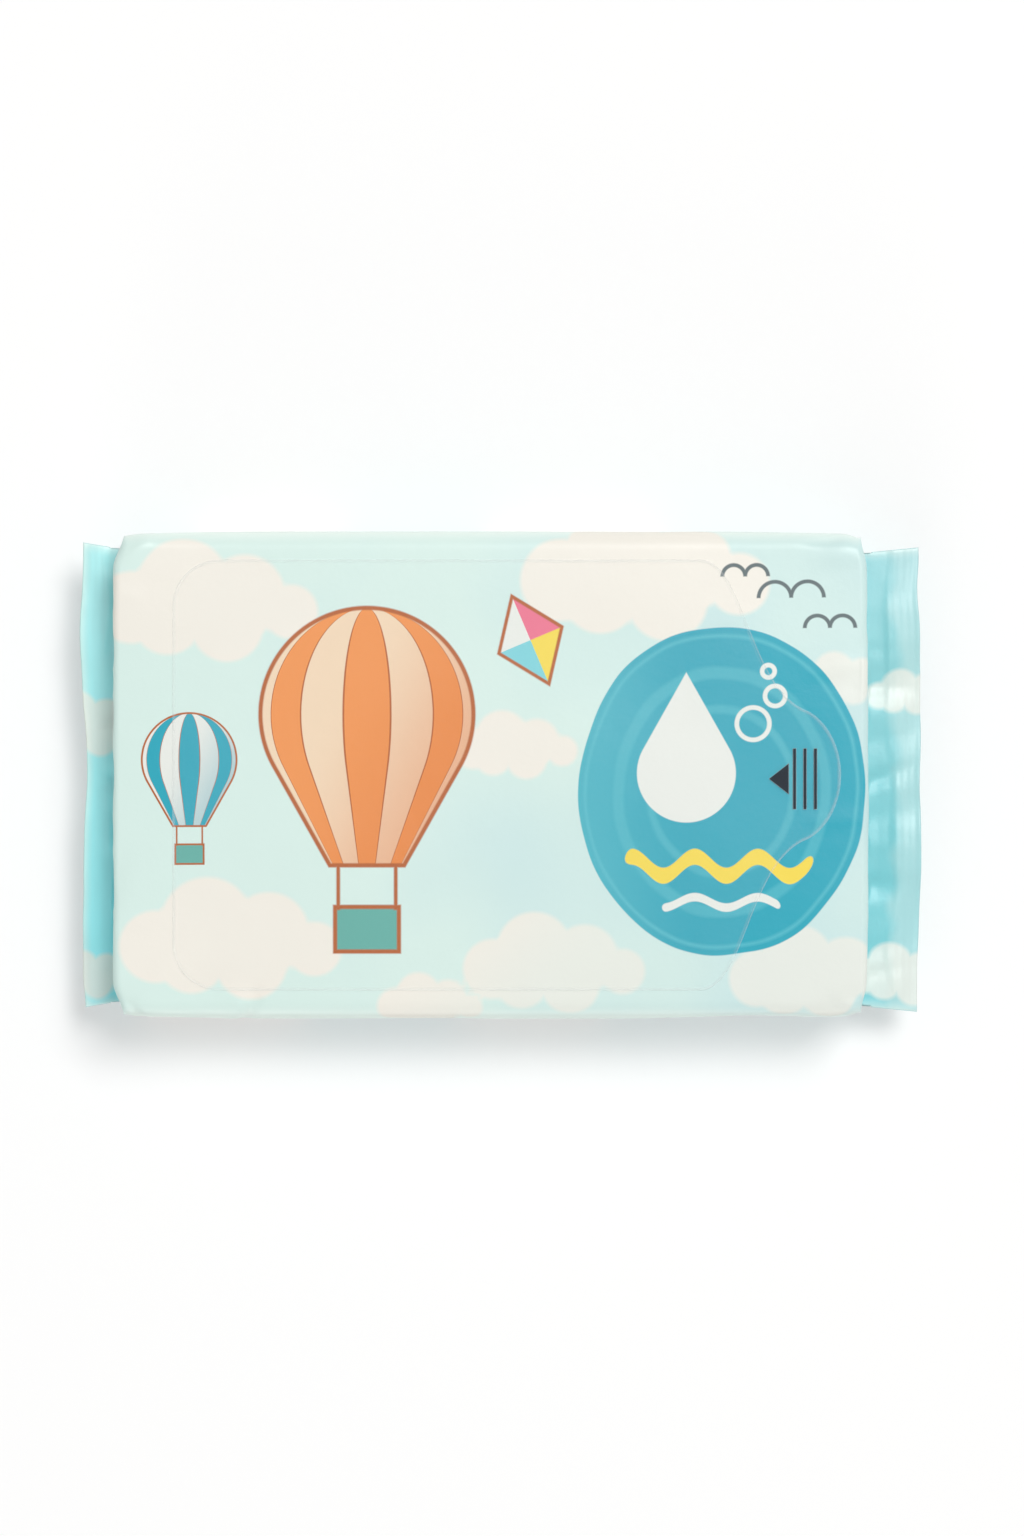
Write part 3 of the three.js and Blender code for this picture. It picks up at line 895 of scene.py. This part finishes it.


# Places on the sheet where a ground begins and where it is whole; the band along the long edges is a painted
# highlight
END_BAND = (38.5, 44.0)
LEFT_TIP = (-47.5, -48.9)
RIGHT_TIP = (48.8, 50.4)
EDGE_HIGHLIGHT = (24.0, 26.2)
SIDE_BAND = (25.8, 30.0)
LOW_RIGHT = (10.0, 30.0)


def paint_sky(g, colours, point, cloud_gap):
    """The pale ground with its end bands, which are partly painted shade and painted light, its long edges
    with a painted highlight, and its clouds.
    """
    patch_scale, patch_gain, patch_shift, patch_slant = 0.045, 2.2, -0.95, 0.015
    stray_scale, stray_reach = 0.2, 3.0
    left_share, right_share, edge_highlight_share, side_share = 0.75, 0.45, 0.75, 0.7
    band_depth, band_right, painted_light_slant = 0.84, 0.08, -0.008
    cloud_soft, cloud_thinning = 0.5, 0.3
    x, y = g.apart(point)
    patches = g.math("MULTIPLY_ADD", g.noise(point, patch_scale), patch_gain, patch_shift)
    cool = g.math("ADD", patches, g.times(x, patch_slant), clamp=True)
    paint = g.mix(cool, colours.sky, colours.sky_cool)
    # the end bands are deeper next to the body and paler towards the cut edges: partly print, partly painted
    # shade that the body casts on the seals
    ends = g.rise(g.size(x), *END_BAND)
    left_tip = g.times(g.rise(x, *LEFT_TIP), left_share)
    stray = g.math("MULTIPLY_ADD", g.noise(point, stray_scale), stray_reach, x)
    right_tip = g.times(g.rise(stray, *RIGHT_TIP), right_share)
    whole = g.math("SUBTRACT", g.minus(ends, left_tip), right_tip, clamp=True)
    # painted light: less of the band on the left and towards the top, to make up for the body's shadow on the
    # left seal
    depth = g.math("MULTIPLY_ADD", g.math("SIGN", x), band_right, band_depth)
    depth = g.math("MULTIPLY_ADD", y, painted_light_slant, depth, clamp=True)
    end_tint = g.mix(g.math("LESS_THAN", x, 0.0), colours.deep_ground_and_shade, colours.left_band_painted_light)
    paint = g.mix(g.times(whole, depth), paint, end_tint)
    girth = g.size(y)
    # painted highlight along the two long edges
    paint = g.mix(g.times(g.rise(girth, *EDGE_HIGHLIGHT), edge_highlight_share), paint, colours.edge_highlight)
    paint = g.mix(g.times(g.rise(girth, *SIDE_BAND), side_share), paint, colours.deep_ground_and_shade)
    thin = g.math("MAXIMUM", ends, g.rise(g.minus(x, y), *LOW_RIGHT))
    veil = g.math("MULTIPLY_ADD", thin, -cloud_thinning, 1.0)
    return g.mix(g.times(g.inside(cloud_gap, cloud_soft), veil), paint, colours.cloud)


POOL_CENTRE = (24.3, -1.7, 0)
POOL_SIZE = (15.0, 17.3, 1)  # half of its length and of its width
POOL_RADIUS = 16.0  # of a round of that size, in which its rings are placed
POOL_LIGHT = (22.0, 8.0)  # where its light side begins and is whole
POOL_RINGS = [(15.2, 0.14, 0.9), (11.6, 0.6, 0.55), (8.0, 0.4, 0.55)]  # radius, half width and strength
WAVES = [  # level, left and right end, height of the crests, half thickness and colour
    (-9.6, 15.0, 33.0, 1.0, 0.85, "yellow"),
    (-13.4, 18.5, 30.0, 0.55, 0.45, "white"),
]
WAVE_TURNS = 0.95  # radians for each millimetre
DROP_CENTRE, DROP_SIZE = (20.6, 0.2, 0), 5.2
BUBBLES = [((27.6, 5.4, 0), 1.7), ((29.9, 8.3, 0), 1.05), ((29.2, 10.9, 0), 0.65)]  # centre and radius
BUBBLE_LINE = 0.24


def paint_pool(g, colours, point, paint, taper):
    """The round field of teal, with its ripples, waves, drop and bubbles."""
    sway_scale, sway_reach, ring_soft, light_share = 0.11, 0.06, 0.4, 0.6
    x, y = g.apart(point)
    off = g.vector("SUBTRACT", point, POOL_CENTRE)
    field = g.vector("LENGTH", g.vector("DIVIDE", off, POOL_SIZE), out="Value")
    field = g.math("MULTIPLY_ADD", g.noise(off, sway_scale), sway_reach, g.minus(field, sway_reach / 2))
    field = g.times(field, POOL_RADIUS)
    water = g.mix(g.times(g.rise(x, *POOL_LIGHT), light_share), colours.teal, colours.teal_light)
    paint = g.mix(g.inside(g.minus(field, POOL_RADIUS)), paint, water)
    for radius, half, share in POOL_RINGS:
        ring = g.inside(g.band(field, radius, half), ring_soft)
        paint = g.mix(g.times(ring, share), paint, colours.teal_light)
    for level, low, high, rise, half, tint in WAVES:
        crest = g.times(g.math("SINE", g.times(x, WAVE_TURNS)), rise)
        past = g.math("MAXIMUM", g.minus(low, x), g.minus(x, high))
        gap = g.hypotenuse(g.minus(g.minus(y, level), crest), g.math("MAXIMUM", past, 0.0))
        paint = g.mix(g.inside(g.minus(gap, half)), paint, getattr(colours, tint))
    spot = g.vector("DIVIDE", g.vector("SUBTRACT", point, DROP_CENTRE), (DROP_SIZE, -DROP_SIZE, 1))
    drop = g.times(g.place(taper, point=spot)["Distance"], DROP_SIZE)
    paint = g.mix(g.inside(drop), paint, colours.white)
    for centre, radius in BUBBLES:
        gap = g.vector("LENGTH", g.vector("SUBTRACT", point, centre), out="Value")
        paint = g.mix(g.inside(g.band(gap, radius, BUBBLE_LINE)), paint, colours.white)
    return paint


BALLOONS = [  # centre, radius, and colours of the dark gores, the light gores and the shaded side
    ((-13.0, 6.4, 0), 11.2, "orange", "cream", "orange_deep"),
    ((-31.6, 1.6, 0), 4.9, "teal", "white", "teal"),
]
SHADE_SHARE = 0.5


def paint_balloons(g, colours, point, paint, balloon):
    """The striped hot-air balloons with their baskets."""
    for centre, size, *names in BALLOONS:
        dark, light, shade = (getattr(colours, name) for name in names)
        made = g.place(balloon, point=point, centre=centre, size=size)
        gores = g.mix(g.times(made["Shade"], SHADE_SHARE), g.mix(made["Gore"], dark, light), shade)
        paint = g.mix(made["Envelope"], paint, gores)
        paint = g.mix(made["Basket"], paint, colours.basket)
        paint = g.mix(made["Line"], paint, colours.outline)
    return paint


KITE_CENTRE, KITE_TURN = (4.2, 14.2, 0), -0.4
KITE_HALF_WIDTH, KITE_HALF_HEIGHT, KITE_SCALE, KITE_LINE = 3.6, 5.0, 2.4, 0.15


def paint_kite(g, colours, point, paint):
    """The kite, with four parts in four colours."""
    values = {"Vector": point, "Center": KITE_CENTRE, "Angle": KITE_TURN}
    turned = g.node("ShaderNodeVectorRotate", values, rotation_type="Z_AXIS").outputs[0]
    x, y = g.apart(g.vector("SUBTRACT", turned, KITE_CENTRE))
    wide = g.math("DIVIDE", g.size(x), KITE_HALF_WIDTH)
    tall = g.math("DIVIDE", g.size(y), KITE_HALF_HEIGHT)
    kite = g.times(g.minus(g.math("ADD", wide, tall), 1.0), KITE_SCALE)
    left, up = g.math("LESS_THAN", x, 0.0), g.math("GREATER_THAN", y, 0.0)
    upper = g.mix(left, colours.pink, colours.white)
    lower = g.mix(left, colours.yellow, colours.blue)
    paint = g.mix(g.inside(kite), paint, g.mix(up, lower, upper))
    return g.mix(g.inside(g.band(kite, 0.0, KITE_LINE)), paint, colours.outline)


BIRDS = [((31.6, 18.6, 0), 1.7), ((35.6, 15.4, 0), 1.3), ((26.8, 20.9, 0), 1.2)]  # centre and wing's radius
BIRD_LINE = 0.2


def paint_birds(g, colours, point, paint):
    """The birds, each of two arcs."""
    for centre, size in BIRDS:
        x, y = g.apart(g.vector("SUBTRACT", point, centre))
        wing = g.band(g.hypotenuse(g.minus(g.size(x), size), y), size, BIRD_LINE)
        paint = g.mix(g.inside(g.both(wing, g.times(y, -1.0))), paint, colours.grey)
    return paint


def print_group(colours):
    """The printed sheet: a pale sky with clouds, balloons, a kite and birds, and a round field of teal, with
    painted shade and light in its end bands and a painted highlight along its long edges.
    """
    taper = taper_group()
    balloon = balloon_group(taper)
    inputs = {"Point": "vector", "Cloud gap": "value"}
    tree, g, given, out = new_group("Printed sky", inputs, {"Color": "colour"})
    point = given["Point"]
    paint = paint_sky(g, colours, point, given["Cloud gap"])
    paint = paint_pool(g, colours, point, paint, taper)
    paint = paint_balloons(g, colours, point, paint, balloon)
    paint = paint_kite(g, colours, point, paint)
    paint = paint_birds(g, colours, point, paint)
    g.join(out["Color"], paint)
    return tree


def finish_group():
    """The film's fine surface: how its sheen varies, and the height of its small creases."""
    inputs = {"Point": "vector", "Roughness": "value", "Variation": "value"}
    tree, g, given, out = new_group("Film surface", inputs, {"Roughness": "value", "Height": "value"})
    haze_scale, crease_scale = 0.22, 0.6
    haze = g.noise(given["Point"], haze_scale, detail=3.0)
    shift = g.times(g.minus(haze, 0.5), given["Variation"])
    g.join(out["Roughness"], g.math("ADD", given["Roughness"], shift, clamp=True))
    g.join(out["Height"], g.noise(given["Point"], crease_scale, detail=4.0, roughness=0.6))
    return tree


def sheet_point(g, offset=0.0):
    """The place on the flat sheet, in millimetres."""
    uv = g.node("ShaderNodeUVMap", uv_map="OFBake").outputs[0]
    middle = (-SHEET_SPAN / 2, -SHEET_SPAN / 2 - offset, 0)
    return g.vector("MULTIPLY_ADD", uv, (SHEET_SPAN, SHEET_SPAN, 0), middle)


def new_material(name):
    made = bpy.data.materials.new(name)
    made.use_nodes = True
    made.node_tree.nodes.clear()
    return made, Graph(made.node_tree)


CREASE_HEIGHT = 0.0003  # metres, of the small creases that the bump shows


def add_film_shader(g, surface, bump_strength, values):
    """Joins the fine surface of a film, and values of its own, to its shader."""
    bumps = {"Height": surface["Height"], "Strength": bump_strength, "Distance": CREASE_HEIGHT}
    bump = g.node("ShaderNodeBump", bumps)
    values = {**values, "Roughness": surface["Roughness"], "Normal": bump.outputs[0]}
    shader = g.node("ShaderNodeBsdfPrincipled", values)
    g.node("ShaderNodeOutputMaterial", {"Surface": shader.outputs[0]})


def film_material(colours, finish):
    made, g = new_material("printed_film")
    point = sheet_point(g)
    gap = g.node("ShaderNodeAttribute", attribute_name="cloud_gap").outputs["Fac"]
    art = g.place(print_group(colours), point=point, cloud_gap=gap)["Color"]
    surface = g.place(finish, point=point, roughness=0.38, variation=0.16)
    add_film_shader(g, surface, bump_strength=0.1, values={"Base Color": art})
    return made


# Opening mark on the label's tab, in millimetres: an arrowhead and three bars
MARK_LEVEL, MARK_SOFT = -0.4, 0.08
ARROW_TIP, ARROW_LENGTH, ARROW_SLOPE = 29.3, 2.1, 0.78
FIRST_BAR, MIDDLE_BAR, HALF_PITCH = 32.0, 33.1, 0.55
BAR_HALF_WIDTH, BAR_HALF_HEIGHT, BARS_REACH = 0.17, 3.2, 1.3


def opening_mark(g, point):
    """1 where the label has ink."""
    x, y = g.apart(point)
    off = g.minus(x, ARROW_TIP)
    tall = g.size(g.minus(y, MARK_LEVEL))
    arrow = g.both(g.math("MULTIPLY_ADD", off, -ARROW_SLOPE, tall), g.minus(off, ARROW_LENGTH))
    bars = g.minus(g.math("PINGPONG", g.minus(x, FIRST_BAR), HALF_PITCH), BAR_HALF_WIDTH)
    bars = g.both(bars, g.band(x, MIDDLE_BAR, BARS_REACH))
    bars = g.both(bars, g.minus(tall, BAR_HALF_HEIGHT))
    return g.inside(g.either(arrow, bars), MARK_SOFT)


def label_material(colours, finish):
    clear, rim_begins, rim_ends = (0.9, 0.92, 0.92), 0.13, 0.46
    ink_alpha, rim_glint_alpha, clear_alpha = 0.94, 0.11, 0.015
    made, g = new_material("clear_label")
    point = sheet_point(g, LABEL_SHIFT)
    ink = opening_mark(g, point)
    gap = g.node("ShaderNodeAttribute", attribute_name="rim_gap").outputs["Fac"]
    # painted reflection: a whiter, less clear band along the label's edge stands in for the glint and shade
    # at its cut edge
    rim = g.minus(1.0, g.rise(gap, rim_begins, rim_ends))
    film_alpha = g.math("MULTIPLY_ADD", rim, rim_glint_alpha, clear_alpha)
    surface = g.place(finish, point=point, roughness=0.16, variation=0.1)
    values = {
        "Base Color": g.mix(ink, clear, colours.ink),
        "Alpha": g.math("MAXIMUM", g.times(ink, ink_alpha), film_alpha),
    }
    add_film_shader(g, surface, bump_strength=0.06, values=values)
    return made


def seen_ray(g):
    """1 for the rays that show the background, straight, mirrored or through something clear."""
    path = g.node("ShaderNodeLightPath").outputs
    mirrored = g.math("MAXIMUM", path["Is Glossy Ray"], path["Is Transmission Ray"])
    return g.math("MAXIMUM", path["Is Camera Ray"], mirrored)


def floor_material(stage):
    made, g = new_material("floor")
    values = {"Base Color": stage.floor, "Roughness": 0.9, "Specular IOR Level": 0.1}
    lit = g.node("ShaderNodeBsdfPrincipled", values)
    glow = g.node("ShaderNodeEmission", {"Color": (1, 1, 1), "Strength": 1.0})
    mixed = g.node("ShaderNodeMixShader", {"Fac": g.times(seen_ray(g), stage.whitening)})
    g.join(mixed.inputs[1], lit.outputs[0])
    g.join(mixed.inputs[2], glow.outputs[0])
    g.node("ShaderNodeOutputMaterial", {"Surface": mixed.outputs[0]})
    return made


def shared_finish():
    return bpy.data.node_groups.get("Film surface") or finish_group()


# Operators


def add_object(name, data, material=None):
    made = bpy.data.objects.new(name, data)
    bpy.context.scene.collection.objects.link(made)
    if material:
        data.materials.append(material)
    return made


class WIPES_OT_film(bpy.types.Operator):
    """Builds the printed film round the stack of wipes"""

    bl_idname = "wipes.film"
    bl_label = "Printed film"

    def execute(self, context):
        scene = context.scene
        mesh = film_mesh(FilmShape(scene.wipes_film))
        film = add_object("printed_film", mesh, film_material(scene.wipes_print, shared_finish()))
        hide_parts("film_pack")
        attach(film, "root")
        return {"FINISHED"}


class WIPES_OT_label(bpy.types.Operator):
    """Builds the clear label on the film's top panel"""

    bl_idname = "wipes.label"
    bl_label = "Clear label"

    def execute(self, context):
        scene = context.scene
        film = bpy.data.objects.get("printed_film")
        if film is None:
            raise RuntimeError("the label needs the printed film under it")
        mesh = label_mesh(FilmShape(scene.wipes_film), scene.wipes_label, film.data)
        label = add_object("clear_label", mesh, label_material(scene.wipes_print, shared_finish()))
        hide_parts("reseal_label")
        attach(label, "root")
        return {"FINISHED"}


LAMPS = {  # size and place of each lamp, in metres
    "key": (1.35, (1.0, 1.2, 2.8)),
    "fill": (2.0, (-1.0, -2.0, 1.7)),
    "edge": (0.7, (-0.3, -2.15, 0.45)),
}


class WIPES_OT_stage(bpy.types.Operator):
    """Sets the floor, the lamps and the camera"""

    bl_idname = "wipes.stage"
    bl_label = "Stage"

    def execute(self, context):
        scene, stage = context.scene, context.scene.wipes_stage
        mesh = bpy.data.meshes.new("floor")
        half = stage.floor_reach
        corners = [(-half, -half, 0), (half, -half, 0), (half, half, 0), (-half, half, 0)]
        mesh.from_pydata(corners, [], [(0, 1, 2, 3)])
        add_object("floor", mesh, floor_material(stage))

        world = bpy.data.worlds.new("room")
        world.use_nodes = True
        world.node_tree.nodes.clear()
        g = Graph(world.node_tree)
        strength = g.choose(seen_ray(g), stage.sky_strength, 1.0)
        light = g.node("ShaderNodeBackground", {"Color": (1, 1, 1), "Strength": strength})
        g.node("ShaderNodeOutputWorld", {"Surface": light.outputs[0]})
        scene.world = world

        for name, (size, place) in LAMPS.items():
            light = bpy.data.lights.new(name, "AREA")
            light.energy = getattr(stage, name + "_power")
            light.size = size
            lamp = add_object(name, light)
            lamp.location = place
            lamp.rotation_euler = (-lamp.location).to_track_quat("-Z", "Y").to_euler()

        lens = bpy.data.cameras.new("camera")
        lens.sensor_width = 36
        lens.lens = lens.sensor_width * stage.camera_height / stage.view_height
        lens.clip_start, lens.clip_end = 0.01, 20
        camera = add_object("camera", lens)
        camera.location = (stage.camera_right, stage.camera_up, PACK_HIGH.z + stage.camera_height)
        scene.camera = camera
        scene.view_settings.view_transform = "Standard"
        return {"FINISHED"}


class WIPES_PT_sidebar(bpy.types.Panel):
    """Lists the steps that build the pack, and its sizes and colours"""

    bl_idname = "WIPES_PT_sidebar"
    bl_label = "Wet wipes pack"
    bl_space_type = "VIEW_3D"
    bl_region_type = "UI"
    bl_category = "Wipes"

    def draw(self, context):
        for operator in OPERATORS:
            self.layout.operator(operator.bl_idname)
        for name, settings in SETTINGS.items():
            box = self.layout.box()
            for key in settings.__annotations__:
                box.prop(getattr(context.scene, name), key)


SETTINGS = {
    "wipes_film": FilmSettings,
    "wipes_label": LabelSettings,
    "wipes_print": PrintSettings,
    "wipes_stage": StageSettings,
}
OPERATORS = (WIPES_OT_film, WIPES_OT_label, WIPES_OT_stage)
CLASSES = (*SETTINGS.values(), *OPERATORS, WIPES_PT_sidebar)


def register():
    for cls in CLASSES:
        bpy.utils.register_class(cls)
    for name, settings in SETTINGS.items():
        setattr(bpy.types.Scene, name, bpy.props.PointerProperty(type=settings))


def unregister():
    for name in SETTINGS:
        delattr(bpy.types.Scene, name)
    for cls in reversed(CLASSES):
        bpy.utils.unregister_class(cls)


def main():
    register()
    bpy.ops.wipes.film()
    bpy.ops.wipes.label()
    bpy.ops.wipes.stage()


if __name__ == "__main__":
    main()
